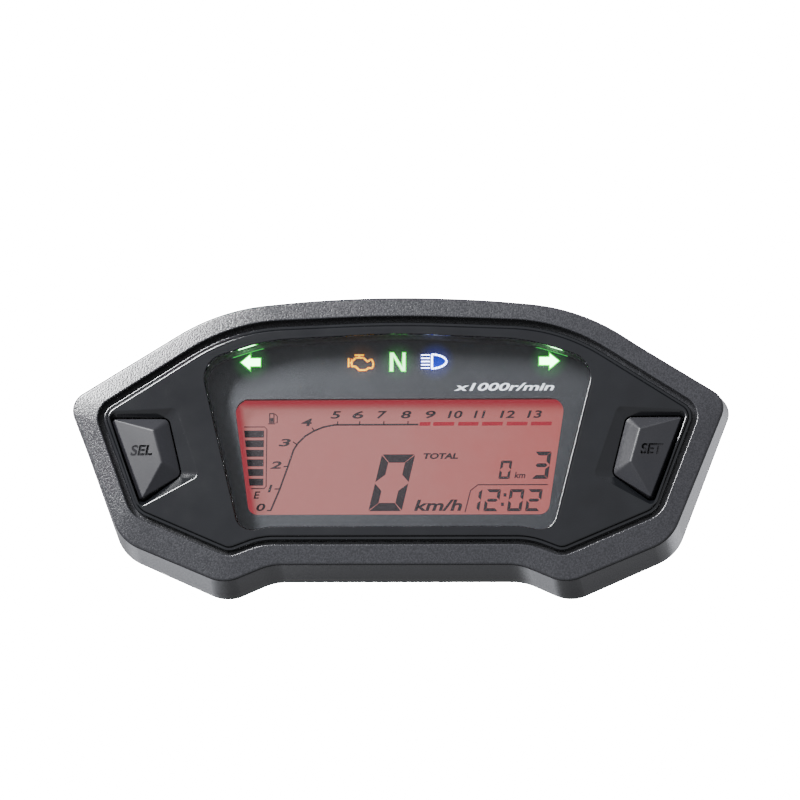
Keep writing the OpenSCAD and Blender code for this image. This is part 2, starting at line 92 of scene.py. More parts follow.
ARROW_X, ENGINE_X, NEUTRAL_X, BEAM_X = 36.2, -9.4, -0.4, 8.7


def both_sides(half):
    """A whole outline from its right half, clockwise as seen from the front."""
    left = [(-x, z, r) for x, z, r in reversed(half) if x > 0]
    return list(half) + left


def inset(ctrl, distance, least=0.3):
    """Moves every side of a clockwise outline inwards."""
    moved = []
    for i, (x, z, r) in enumerate(ctrl):
        here = Vector((x, z))
        a = (here - Vector(ctrl[i - 1][:2])).normalized()
        b = (Vector(ctrl[(i + 1) % len(ctrl)][:2]) - here).normalized()
        na, nb = Vector((a.y, -a.x)), Vector((b.y, -b.x))
        shift = (na + nb) * (distance / (1 + na.dot(nb)))
        outside = a.x * b.y - a.y * b.x < 0
        radius = r - distance if outside else r + distance
        moved.append((x + shift.x, z + shift.y, max(radius, least)))
    return moved


def rounded(ctrl, steps=14):
    """The outline's points, with an arc at each corner."""
    points = []
    for i, (x, z, r) in enumerate(ctrl):
        here = Vector((x, z))
        u = (Vector(ctrl[i - 1][:2]) - here).normalized()
        v = (Vector(ctrl[(i + 1) % len(ctrl)][:2]) - here).normalized()
        half = math.acos(max(-1, min(1, u.dot(v)))) / 2
        centre = here + (u + v).normalized() * (r / math.sin(half))
        start = here + u * (r / math.tan(half)) - centre
        stop = here + v * (r / math.tan(half)) - centre
        a0 = math.atan2(start.y, start.x)
        turn = (math.atan2(stop.y, stop.x) - a0 + 3 * math.pi) % (2 * math.pi) - math.pi
        for k in range(steps + 1):
            a = a0 + turn * k / steps
            points.append((centre.x + r * math.cos(a), centre.y + r * math.sin(a)))
    return points


def blended(a, b, share):
    """An outline part of the way from outline a to outline b."""
    return [tuple(p + (q - p) * share for p, q in zip(m, n)) for m, n in zip(a, b)]


def quarter_round(r, steps):
    """Points of a rounded edge as (inward, depth), from its side wall to its face."""
    turns = [math.pi / 2 * k / steps for k in range(steps + 1)]
    return [(r * (1 - math.cos(a)), r * (1 - math.sin(a))) for a in turns]


REAR = both_sides(REAR_HALF)
CREST = [(x * CREST_SCALE[0], z * CREST_SCALE[1], r) for x, z, r in REAR]
OPENING = both_sides(OPENING_HALF)
PANEL_OUTLINE = inset(OPENING, PANEL_GAP)
WINDOW = both_sides(WINDOW_HALF)
LCD_OPENING = both_sides(LCD_OPENING_HALF)


def mirrored_x(points):
    return [(-x, z) for x, z in points]


# ---- Mesh building ----

class Solid:
    """Collects rings, bridges and caps in millimetres and becomes one mesh object."""

    def __init__(self):
        self.verts = []
        self.faces = []

    def ring(self, outline, y):
        start = len(self.verts)
        self.verts += [(x, y, z) for x, z in outline]
        return list(range(start, len(self.verts)))

    def bridge(self, a, b):
        n = len(a)
        self.faces += [(a[i], a[(i + 1) % n], b[(i + 1) % n], b[i]) for i in range(n)]

    def loft(self, rings, closed=False):
        for a, b in zip(rings, rings[1:]):
            self.bridge(a, b)
        if closed:
            self.bridge(rings[-1], rings[0])

    def cap(self, *loops):
        """Fills a flat region; loops after the first are holes in it."""
        flat = [[Vector((self.verts[i][0], self.verts[i][2], 0)) for i in loop] for loop in loops]
        index = [i for loop in loops for i in loop]
        self.faces += [tuple(index[k] for k in tri) for tri in tessellate_polygon(flat)]

    def prism(self, outline, y0, y1):
        low, high = self.ring(outline, y0), self.ring(outline, y1)
        self.bridge(low, high)
        self.cap(low)
        self.cap(high)

    def lathe(self, profile, x=0, z=0, sides=48):
        """Turns (radius, y) points about a line along Y; a radius of 0 closes the end."""
        rings = []
        for radius, y in profile:
            if radius == 0:
                self.verts.append((x, y, z))
                rings.append([len(self.verts) - 1] * sides)
            else:
                circle = [(x + radius * math.cos(2 * math.pi * k / sides),
                           z + radius * math.sin(2 * math.pi * k / sides)) for k in range(sides)]
                rings.append(self.ring(circle, y))
        for a, b in zip(rings, rings[1:]):
            for i in range(sides):
                j = (i + 1) % sides
                corners = list(dict.fromkeys((a[i], a[j], b[j], b[i])))
                self.faces.append(tuple(corners))

    def join(self, verts, faces):
        start = len(self.verts)
        self.verts += verts
        self.faces += [tuple(start + i for i in face) for face in faces]

    def mesh(self, name):
        data = bpy.data.meshes.new(name)
        data.from_pydata([Vector(v) * MM for v in self.verts], [], self.faces)
        return clean(data)


def clean(data, weld=1e-7):
    """Welds double points and turns every face outwards."""
    bm = bmesh.new()
    bm.from_mesh(data)
    bmesh.ops.remove_doubles(bm, verts=bm.verts, dist=weld)
    bmesh.ops.dissolve_degenerate(bm, edges=bm.edges, dist=weld)
    bmesh.ops.recalc_face_normals(bm, faces=bm.faces)
    bm.to_mesh(data)
    bm.free()
    return data


def piece(name, data, material, body="root", stands_for=(), smooth=32, weighted=True):
    """Makes the object, shades it smooth between its sharp edges and ties it to the frame."""
    obj = bpy.data.objects.new(name, data)
    bpy.context.scene.collection.objects.link(obj)
    for polygon in data.polygons:
        polygon.use_smooth = True
    data.set_sharp_from_angle(angle=math.radians(smooth))
    if weighted:
        obj.modifiers.new("normals", "WEIGHTED_NORMAL").keep_sharp = True
    data.materials.clear()
    data.materials.append(material)
    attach(obj, body)
    if stands_for:
        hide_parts(*stands_for)
    return obj


# ---- Materials ----

def ranged(tree, source, begin, finish, low, high, kind="LINEAR"):
    """Maps a value from begin..finish to low..high, held at both ends."""
    node = tree.nodes.new("ShaderNodeMapRange")
    node.interpolation_type = kind
    tree.links.new(source, node.inputs["Value"])
    for socket, value in (("From Min", begin), ("From Max", finish),
                          ("To Min", low), ("To Max", high)):
        node.inputs[socket].default_value = value
    return node.outputs["Result"]


class Paint:
    """A Principled material with a few procedural inputs."""

    def __init__(self, name, color, rough=0.5, metallic=0.0, **sockets):
        self.material = bpy.data.materials.new(name)
        self.material.use_nodes = True
        self.tree = self.material.node_tree
        self.shader = self.tree.nodes["Principled BSDF"]
        self.output = self.tree.nodes["Material Output"]
        self.set("Base Color", (*color, 1))
        self.set("Roughness", rough)
        self.set("Metallic", metallic)
        for key, value in sockets.items():
            self.set(key.replace("_", " "), value)
        self.coords = self.tree.nodes.new("ShaderNodeTexCoord")
        self.height = None

    def set(self, socket, value):
        self.shader.inputs[socket].default_value = value

    def link(self, out, into):
        self.tree.links.new(out, into)

    def node(self, kind, **values):
        made = self.tree.nodes.new("ShaderNode" + kind)
        for key, value in values.items():
            if hasattr(made, key):
                setattr(made, key, value)
            else:
                made.inputs[key.replace("_", " ")].default_value = value
        return made

    def noise(self, grain_mm, detail=2.0, stretch=(1, 1, 1)):
        """Noise whose features are about grain_mm across."""
        mapping = self.node("Mapping")
        mapping.inputs["Scale"].default_value = stretch
        self.link(self.coords.outputs["Object"], mapping.inputs["Vector"])
        noise = self.node("TexNoise", Scale=1 / (grain_mm * MM), Detail=detail)
        self.link(mapping.outputs["Vector"], noise.inputs["Vector"])
        return noise.outputs["Fac"]

    def span(self, source, low, high, from_low=0.3, from_high=0.7):
        return ranged(self.tree, source, from_low, from_high, low, high)

    def vary_roughness(self, source, low, high):
        self.link(self.span(source, low, high), self.shader.inputs["Roughness"])
        return self

    def vary_color(self, source, dark, light, from_low=0.3, from_high=0.7):
        ramp = self.node("ValToRGB")
        ramp.color_ramp.elements[0].color = (*dark, 1)
        ramp.color_ramp.elements[1].color = (*light, 1)
        self.link(self.span(source, 0, 1, from_low, from_high), ramp.inputs["Fac"])
        self.link(ramp.outputs["Color"], self.shader.inputs["Base Color"])
        return self

    def bump(self, source, depth_mm, strength=1.0):
        bump = self.node("Bump", Strength=strength, Distance=depth_mm * MM)
        self.link(source, bump.inputs["Height"])
        if self.height:
            self.link(self.height, bump.inputs["Normal"])
        self.height = bump.outputs["Normal"]
        self.link(self.height, self.shader.inputs["Normal"])
        return self


def grained_plastic(name, color, rough, grain_mm, depth_mm, **sockets):
    """Moulded plastic with a spark-eroded grain and slight cloudiness."""
    paint = Paint(name, color, rough, **sockets)
    grain = paint.noise(grain_mm, 3)
    cloud = paint.noise(9, 2)
    paint.vary_roughness(cloud, rough - 0.04, rough + 0.05)
    paint.bump(grain, depth_mm)
    light = tuple(c * 1.25 for c in color)
    return paint.vary_color(grain, color, light).material


def bezel_plastic():
    """Black ABS: strong grain on the faces that look forward, finer grain on the skirt."""
    paint = Paint("bezel_plastic", (0.013, 0.013, 0.015), 0.36)
    coarse = paint.span(paint.noise(0.40, 2), 0, 1, 0.34, 0.66)
    normal = paint.node("SeparateXYZ")
    paint.link(paint.coords.outputs["Normal"], normal.inputs["Vector"])
    forward = paint.span(normal.outputs["Y"], 1, 0.10, -0.9, -0.5)
    height = paint.node("Math", operation="MULTIPLY")
    paint.link(coarse, height.inputs[0])
    paint.link(forward, height.inputs[1])
    paint.bump(height.outputs["Value"], 0.0155)
    paint.bump(paint.noise(0.16, 2), 0.002)
    paint.vary_roughness(coarse, 0.20, 0.26)
    return paint.vary_color(coarse, (0.009, 0.009, 0.0105), (0.016, 0.016, 0.0185), 0, 1).material


def panel_black():
    """Deep gloss black with a faint polish haze."""
    paint = Paint("panel_black", (0.007, 0.0075, 0.009), 0.12)
    paint.vary_roughness(paint.noise(6, 3), 0.08, 0.16)
    paint.bump(paint.noise(14, 1), 0.008)
    cloud = paint.noise(9, 2)
    return paint.vary_color(cloud, (0.0028, 0.0030, 0.0037), (0.0042, 0.0045, 0.0053)).material


def clear_window():
    """A clear sheet: mostly see-through, with a mirror gloss that grows at grazing angles."""
    paint = Paint("clear_window", (0.9, 0.92, 0.93), 0.02)
    clear = paint.node("BsdfTransparent")
    clear.inputs["Color"].default_value = (0.93, 0.94, 0.95, 1)
    gloss = paint.node("BsdfGlossy")
    gloss.inputs["Roughness"].default_value = 0.04
    mix = paint.node("MixShader")
    fresnel = paint.node("Fresnel", IOR=1.35)
    bump = paint.node("Bump", Strength=1.0, Distance=0.004 * MM)
    paint.link(paint.noise(16, 1), bump.inputs["Height"])
    paint.link(bump.outputs["Normal"], gloss.inputs["Normal"])
    paint.link(fresnel.outputs["Fac"], mix.inputs["Fac"])
    paint.link(clear.outputs["BSDF"], mix.inputs[1])
    paint.link(gloss.outputs["BSDF"], mix.inputs[2])
    paint.link(mix.outputs["Shader"], paint.output.inputs["Surface"])
    return paint.material


def glowing(name, color, strength, **sockets):
    """Translucent plastic lit from behind, with a faint frosting."""
    paint = Paint(name, color, **sockets)
    frost = paint.noise(0.25, 2)
    paint.vary_roughness(frost, 0.27, 0.43)
    paint.bump(frost, 0.01)
    paint.set("Emission Color", (*color, 1))
    paint.set("Emission Strength", strength)
    return paint.material


def dial_film():
    """Dark printed film with a fine grain and light spilling round the lit symbols."""
    halo_reach, halo_core, halo_strength = 5.5, 1.5, 0.16
    paint = Paint("dial_film", (0.012, 0.0125, 0.014))
    grain = paint.noise(0.42, 3)
    paint.bump(grain, 0.03)
    paint.vary_roughness(paint.noise(7, 2), 0.36, 0.41)
    paint.vary_color(grain, (0.006, 0.0065, 0.008), (0.020, 0.021, 0.024))
    glow = None
    for x, color in ((-ARROW_X, (0.02, 0.5, 0.06)), (ARROW_X, (0.02, 0.5, 0.06)),
                     (ENGINE_X, (0.22, 0.07, 0.004)), (NEUTRAL_X, (0.02, 0.42, 0.05)),
                     (BEAM_X, (0.03, 0.08, 0.9))):
        reach = paint.node("VectorMath", operation="DISTANCE")
        paint.link(paint.coords.outputs["Object"], reach.inputs[0])
        reach.inputs[1].default_value = (x * MM, DIAL * MM, TELLTALE_Z * MM)
        fade = ranged(paint.tree, reach.outputs["Value"], halo_reach * MM, halo_core * MM,
                      0, halo_strength, "SMOOTHERSTEP")
        tint = paint.node("VectorMath", operation="SCALE")
        tint.inputs[0].default_value = color
        paint.link(fade, tint.inputs["Scale"])
        if glow is None:
            glow = tint.outputs["Vector"]
        else:
            total = paint.node("VectorMath", operation="ADD")
            paint.link(glow, total.inputs[0])
            paint.link(tint.outputs["Vector"], total.inputs[1])
            glow = total.outputs["Vector"]
    paint.link(glow, paint.shader.inputs["Emission Color"])
    paint.set("Emission Strength", 1.0)
    return paint.material


def lcd_face():
    """The lit display: dusty pink, redder at its right end, with painted light in crimson along its
    top and left that stands for the opening's red-lit side walls.
    """
    paint = Paint("lcd_face", (0.05, 0.016, 0.015), 0.5, Specular_IOR_Level=0.1)
    place = paint.node("SeparateXYZ")
    paint.link(paint.coords.outputs["Object"], place.inputs["Vector"])
    redder_from, redder_to = -4 * MM, 40 * MM
    side = paint.span(place.outputs["X"], 0, 1, redder_from, redder_to)
    blend = paint.node("Math", operation="ADD")
    paint.link(side, blend.inputs[0])
    paint.link(paint.span(paint.noise(5, 3), -0.12, 0.12), blend.inputs[1])
    middle = paint.node("ValToRGB")
    middle.color_ramp.elements[0].color = (0.60, 0.212, 0.195, 1)
    middle.color_ramp.elements[1].color = (0.62, 0.138, 0.124, 1)
    paint.link(blend.outputs["Value"], middle.inputs["Fac"])
    lean = paint.node("Math", operation="MULTIPLY_ADD")
    lean.inputs[1].default_value = LCD_SIDE_LEAN
    paint.link(place.outputs["Z"], lean.inputs[0])
    paint.link(place.outputs["X"], lean.inputs[2])
    left_edge = (-LCD_OPENING_HALF[0][0] + LCD_SIDE_LEAN * LCD_OPENING_HALF[0][1]) * MM
    top_edge = LCD_OPENING_HALF[0][1] * MM
    # Painted light: the crimson band along the top and left edges stands for the side walls of the
    # opening lit red by the display.
    left_full, left_end, top_full, top_end = 0.5 * MM, 1.9 * MM, 0.3 * MM, 2.0 * MM
    left = paint.span(lean.outputs["Value"], 1, 0, left_edge + left_full, left_edge + left_end)
    top = paint.span(place.outputs["Z"], 0, 1, top_edge - top_end, top_edge - top_full)
    band = paint.node("Math", operation="MAXIMUM")
    paint.link(left, band.inputs[0])
    paint.link(top, band.inputs[1])
    mix = paint.node("Mix", data_type="RGBA")
    paint.link(band.outputs["Value"], mix.inputs["Factor"])
    paint.link(middle.outputs["Color"], mix.inputs[6])
    mix.inputs[7].default_value = (0.50, 0.035, 0.055, 1)
    paint.link(mix.outputs[2], paint.shader.inputs["Emission Color"])
    paint.set("Emission Strength", 0.84)
    paint.bump(paint.noise(0.15, 2), 0.004)
    return paint.material


def ink(name, color, rough=0.5, **sockets):
    """A printed or switched layer with slight unevenness."""
    paint = Paint(name, color, rough, **sockets)
    spots = paint.noise(0.6, 2)
    light = tuple(c * 1.3 + 0.002 for c in color)
    return paint.vary_color(spots, color, light).material


def rubber(name, color, rough=0.75):
    """Soft rubber or foam with a dull, slightly uneven face."""
    paint = Paint(name, color, rough)
    grain = paint.noise(0.18, 3)
    paint.bump(grain, 0.02)
    return paint.vary_color(paint.noise(2, 3), color, tuple(c * 1.5 for c in color)).material


def metal(name, color, rough, brush=(1, 1, 1)):
    """Bare or plated metal with fine tool marks along one direction."""
    paint = Paint(name, color, rough, metallic=1.0)
    marks = paint.noise(0.12, 4, brush)
    paint.vary_roughness(marks, rough - 0.08, rough + 0.12)
    paint.bump(marks, 0.004)
    return paint.vary_color(paint.noise(1.2, 3), tuple(c * 0.8 for c in color), color).material


def circuit_board():
    """Green solder mask over copper tracks and pads."""
    paint = Paint("pcb_green", (0.015, 0.13, 0.06), 0.32)
    flat = paint.node("Mapping")
    flat.inputs["Scale"].default_value = (1, 0, 1)
    paint.link(paint.coords.outputs["Object"], flat.inputs["Vector"])
    tracks = paint.node("TexVoronoi", feature="DISTANCE_TO_EDGE", distance="MANHATTAN",
                        Scale=1 / (3.2 * MM), Randomness=0.55)
    paint.link(flat.outputs["Vector"], tracks.inputs["Vector"])
    copper = paint.span(tracks.outputs["Distance"], 1, 0, 0.03, 0.07)
    paint.vary_color(copper, (0.010, 0.10, 0.045), (0.05, 0.26, 0.10), 0, 1)
    return paint.bump(copper, 0.03).material


GRAIN = bezel_plastic()
BLACK_GLOSS = panel_black()
CLEAR = clear_window()
SEAL = rubber("seal_rubber", (0.012, 0.012, 0.013))
CARRIER = grained_plastic("carrier_plastic", (0.016, 0.017, 0.019), 0.8, 0.3, 0.02)
FILM = dial_film()
GREEN = glowing("green_lens", (0.05, 0.95, 0.12), 1.0)
AMBER = glowing("amber_lens", (1.0, 0.42, 0.03), 1.0)
BLUE = glowing("blue_lens", (0.08, 0.25, 1.0), 1.0)
EDGE_GREEN = glowing("edge_green", (0.02, 1.0, 0.05), 1.0, Specular_IOR_Level=0.0)
CORE_GREEN = glowing("core_green", (0.34, 1.0, 0.38), 17.0)
SOFT_GREEN = glowing("soft_green", (0.45, 1.0, 0.42), 4.5)
EDGE_AMBER = glowing("edge_amber", (1.0, 0.26, 0.0), 0.7, Specular_IOR_Level=0.0)
CORE_AMBER = glowing("core_amber", (1.0, 0.60, 0.0), 1.7, Specular_IOR_Level=0.0)
EDGE_BLUE = glowing("edge_blue", (0.02, 0.06, 1.0), 1.3, Specular_IOR_Level=0.0)
FILL_BLUE = glowing("fill_blue", (0.01, 0.03, 0.45), 0.22, Specular_IOR_Level=0.0)
CORE_WHITE = glowing("core_white", (0.78, 0.88, 1.0), 9.0)
WHITE = grained_plastic("white_plastic", (0.72, 0.72, 0.70), 0.5, 0.3, 0.01)
LED = glowing("led_lens", (1.0, 0.85, 0.5), 0.6)
RED_LED = glowing("red_led_lens", (1.0, 0.15, 0.1), 0.6)
FOAM = rubber("foam_black", (0.02, 0.02, 0.021), 0.9)
LCD_FACE = lcd_face()
LCD_GLASS = ink("lcd_glass", (0.42, 0.20, 0.18), 0.15)
SEGMENT = ink("lcd_segment", (0.014, 0.009, 0.010), 0.5, Specular_IOR_Level=0.12)
RED_SEGMENT = ink("lcd_red_segment", (0.10, 0.004, 0.008), 0.6, Specular_IOR_Level=0.1,
                  Emission_Color=(0.40, 0.014, 0.030, 1), Emission_Strength=0.6)
LEGEND_WHITE = glowing("legend_white", (0.8, 0.82, 0.85), 0.35)
PIN = metal("pin_metal", (0.8, 0.8, 0.78), 0.3)
DIFFUSER = grained_plastic("diffuser_film", (0.82, 0.82, 0.82), 0.6, 0.1, 0.01)
GUIDE = ink("acrylic_guide", (0.75, 0.55, 0.53), 0.12)
BOARD = circuit_board()
CHIP = grained_plastic("chip_black", (0.018, 0.018, 0.02), 0.55, 0.12, 0.01)
CAN = metal("capacitor_can", (0.72, 0.72, 0.75), 0.35)
CRYSTAL = metal("crystal_can", (0.75, 0.75, 0.76), 0.25)
BUTTON = grained_plastic("button_black", (0.008, 0.008, 0.0095), 0.42, 0.2, 0.008,
                        Specular_IOR_Level=0.23)
# Painted shade: a slightly darker, duller sheet for the bottom of the buttons' cut letters, where the
# cut is in shade.
BUTTON_LEGEND_SHADE = grained_plastic("button_legend_shade", (0.006, 0.006, 0.007), 0.7, 0.2, 0.01,
                               Specular_IOR_Level=0.1)
SWITCH = grained_plastic("switch_body", (0.09, 0.09, 0.1), 0.5, 0.2, 0.01)
SILICONE = rubber("silicone_red", (0.25, 0.03, 0.025), 0.55)
HOUSING = grained_plastic("housing_black", (0.026, 0.026, 0.029), 0.48, 0.45, 0.04)
BRASS = metal("insert_brass", (0.78, 0.55, 0.22), 0.28, (1, 0.1, 1))
SOCKET = grained_plastic("socket_plastic", (0.70, 0.70, 0.67), 0.45, 0.25, 0.012)
STEEL = metal("screw_steel", (0.62, 0.63, 0.66), 0.3)
MEMBRANE = rubber("vent_white", (0.8, 0.8, 0.78), 0.85)


# ---- Front bezel and panel ----

def make_bezel():
    """The rim, the flared skirt, the inner wall and the ledge as one loft, and six screw posts."""
    rim_lip, lip_r = 0.35, 0.3
    crest_r, crest_depth, crest_rise = 0.75, 0.75, 0.17
    crest_start, crest_sweep, flare = 8, 76, 0.97
    wall, shoulder, ledge_t = 2.2, 1, 2
    rear_play = 0.03
    crest_y = FRONT + crest_depth
    skirt_front = crest_y + crest_r
    rings = [(inset(OPENING, -d), FRONT + y) for d, y in quarter_round(rim_lip, 4)]
    for k in range(7):
        a = math.radians(crest_start + crest_sweep * k / 6)
        outline = inset(CREST, crest_r * (1 - math.sin(a)))
        rings.append((outline, crest_y - crest_rise + crest_r * (1 - math.cos(a))))
    for share in (0.25, 0.5, 0.75):
        y = skirt_front + (SKIRT - lip_r - skirt_front) * share
        rings.append((blended(CREST, REAR, share * flare), y))
    rings += [(inset(REAR, rear_play + d), SKIRT - y) for d, y in quarter_round(lip_r, 3)]
    ledge = inset(OPENING, PANEL_GAP + LEDGE_WIDTH)
    rings += [(inset(REAR, wall), SKIRT), (inset(CREST, wall), LEDGE + ledge_t + shoulder),
              (ledge, LEDGE + ledge_t), (ledge, LEDGE), (OPENING, LEDGE)]
    solid = Solid()
    solid.loft([solid.ring(rounded(c), y) for c, y in rings], closed=True)
    bore_r, bore_depth, chamfer, post_r, post_gap = 1.24, 7, 0.3, 2.6, 0.2
    post_front = LEDGE + ledge_t + post_gap
    post = [(0, SKIRT - bore_depth), (bore_r, SKIRT - bore_depth), (bore_r, SKIRT - chamfer),
            (bore_r + chamfer, SKIRT), (post_r, SKIRT), (post_r, post_front), (0, post_front)]
    for side in (-1, 1):
        for x, z in CASE_SCREWS:
            solid.lathe(post, side * x, z, 32)
    piece("bezel_shell", solid.mesh("bezel_shell"), GRAIN,
          stands_for=["front_bezel"])


def make_panel():
    """The gloss panel: a stepped edge, the window's seat and a pocket for each button."""
    step_r, step_depth, step_width = 0.32, 0.5, 0.72
    groove_width, groove_depth = 0.1, 0.08
    edge_r, lip_r, lip_turn = 0.55, 0.5, 0.8
    pocket_depth = 1.35
    thickness = PANEL_REAR - PANEL
    solid = Solid()
    profile = [(0, thickness)]
    profile += [(d, step_depth + y) for d, y in quarter_round(step_r, 5)]
    profile += [(step_width, step_depth), (step_width + groove_width / 2, step_depth + groove_depth)]
    profile += [(step_width + groove_width + d, y) for d, y in quarter_round(edge_r, 6)]
    edge = [solid.ring(rounded(inset(PANEL_OUTLINE, d)), PANEL + y) for d, y in profile]
    solid.loft(edge)
    window_profile = [(0.3, 0), (0.16, 0.03), (0.07, 0.1), (0.02, 0.22), (0, WINDOW_SEAT),
                      (WINDOW_FLANGE, WINDOW_SEAT), (WINDOW_FLANGE, thickness)]
    window_rings = [solid.ring(rounded(inset(WINDOW, -out)), PANEL + y) for out, y in window_profile]
    solid.loft(window_rings)
    front_holes, rear_holes = [window_rings[0]], [window_rings[-1]]
    floor = inset(CAP, -CAP_GAP)
    foot = inset(POCKET, lip_r * (math.sin(lip_turn) - 1))
    for turn in (lambda p: p, mirrored_x):
        outlines = [(inset(POCKET, lip_r * (math.sin(a) - 1)), lip_r * (1 - math.cos(a)))
                    for a in (lip_turn * k / 4 for k in range(5))]
        outlines += [(blended(foot, floor, share), depth)
                     for share, depth in ((0.5, 0.75), (0.9, 1.2), (1, pocket_depth), (1, thickness))]
        rings = [solid.ring(turn(rounded(outline, 8)), PANEL + y) for outline, y in outlines]
        solid.loft(rings)
        front_holes.append(rings[0])
        rear_holes.append(rings[-1])
    solid.cap(edge[-1], *front_holes)
    solid.cap(edge[0], *rear_holes)
    piece("gloss_front", solid.mesh("gloss_front"), BLACK_GLOSS,
          stands_for=["gloss_panel"])


def make_window():
    """The clear sheet, its face in the panel's opening and its flange behind the seat."""
    play, gap, edge_r = 0.03, 0.01, 0.12
    solid = Solid()
    outline = inset(WINDOW, play)
    edge = [solid.ring(rounded(inset(outline, d)), PANEL + y) for d, y in quarter_round(edge_r, 3)]
    neck = solid.ring(rounded(outline), PANEL + WINDOW_SEAT)
    flange = rounded(inset(WINDOW, play - WINDOW_FLANGE))
    shoulder = solid.ring(flange, PANEL + WINDOW_SEAT + gap)
    rear = solid.ring(flange, PANEL_REAR)
    solid.loft([rear, shoulder, neck] + edge)
    solid.cap(edge[-1])
    solid.cap(rear)
    piece("window_sheet", solid.mesh("window_sheet"), CLEAR,
          stands_for=["window_lens"])


def make_seal():
    """The gasket between the panel's rear face and the bezel's ledge."""
    solid = Solid()
    inner, outer, tall, edge = 0.1, LEDGE_WIDTH - 0.1, 0.8, 0.1
    profile = [(inner, edge), (inner + edge, 0), (outer - edge, 0), (outer, edge),
               (outer, tall - edge), (outer - edge, tall), (inner + edge, tall),
               (inner, tall - edge)]
    rings = [solid.ring(rounded(inset(PANEL_OUTLINE, d)), PANEL_REAR + y) for d, y in profile]
    solid.loft(rings, closed=True)
    piece("panel_gasket", solid.mesh("panel_gasket"), SEAL,
          stands_for=["panel_seal"])


# ---- Dial ----

def make_dial():
    margin = 0.3
    solid = Solid()
    rings = []
    for y in (DIAL, DIAL_REAR):
        outer = solid.ring(rounded(inset(WINDOW, -margin)), y)
        hole = solid.ring(rounded(LCD_OPENING), y)
        solid.cap(outer, hole)
        rings.append((outer, hole))
    solid.bridge(rings[0][0], rings[1][0])
    solid.bridge(rings[0][1], rings[1][1])
    piece("dial_film_sheet", solid.mesh("dial_film_sheet"), FILM,
          stands_for=["dial_plate"])


def letters(text, shear, weight):
    """A thin text as a mesh with its lower left corner at 0, 0, and its width and height."""
    curve = bpy.data.curves.new("letters", "FONT")
    curve.body = text
    curve.size = 1.0
    curve.shear = shear
    curve.offset = weight
    curve.extrude = 0.01
    curve.resolution_u = 6
    obj = bpy.data.objects.new("letters", curve)
    bpy.context.scene.collection.objects.link(obj)
    bpy.context.view_layer.update()
    data = bpy.data.meshes.new_from_object(obj.evaluated_get(bpy.context.evaluated_depsgraph_get()))
    bpy.data.objects.remove(obj)
    bpy.data.curves.remove(curve)
    verts = [v.co.copy() for v in data.vertices]
    faces = [tuple(p.vertices) for p in data.polygons]
    bpy.data.meshes.remove(data)
    low = Vector((min(v.x for v in verts), min(v.y for v in verts), 0))
    high = Vector((max(v.x for v in verts), max(v.y for v in verts), 0))
    return [v - low for v in verts], faces, high - low


def write(solid, text, x0, x1, z0, z1, y, thick, shear, weight):
    """Sets a text in the box x0..x1 by z0..z1, its front face at y."""
    verts, faces, size = letters(text, shear, weight)
    placed = [(x0 + v.x * (x1 - x0) / size.x, y + (0 if v.z > 0 else thick),
               z0 + v.y * (z1 - z0) / size.y) for v in verts]
    solid.join(placed, faces)


def shrunk(outline, width):
    """A closed outline drawn in by the given width."""
    n = len(outline)
    area = sum(outline[i][0] * outline[(i + 1) % n][1] - outline[(i + 1) % n][0] * outline[i][1]
               for i in range(n))
    clockwise = outline if area < 0 else outline[::-1]
    return clockwise, [(x, z) for x, z, _ in inset([(x, z, 1) for x, z in clockwise], width)]


def box_outline(x0, x1, z0, z1):
    return [(x0, z0), (x0, z1), (x1, z1), (x1, z0)]


def band(outline, width):
    """A closed line of the given width inside an outline, as one quadrilateral per side."""
    n = len(outline)
    outer, inner = shrunk(outline, width)
    return [[outer[i], outer[(i + 1) % n], inner[(i + 1) % n], inner[i]] for i in range(n)]


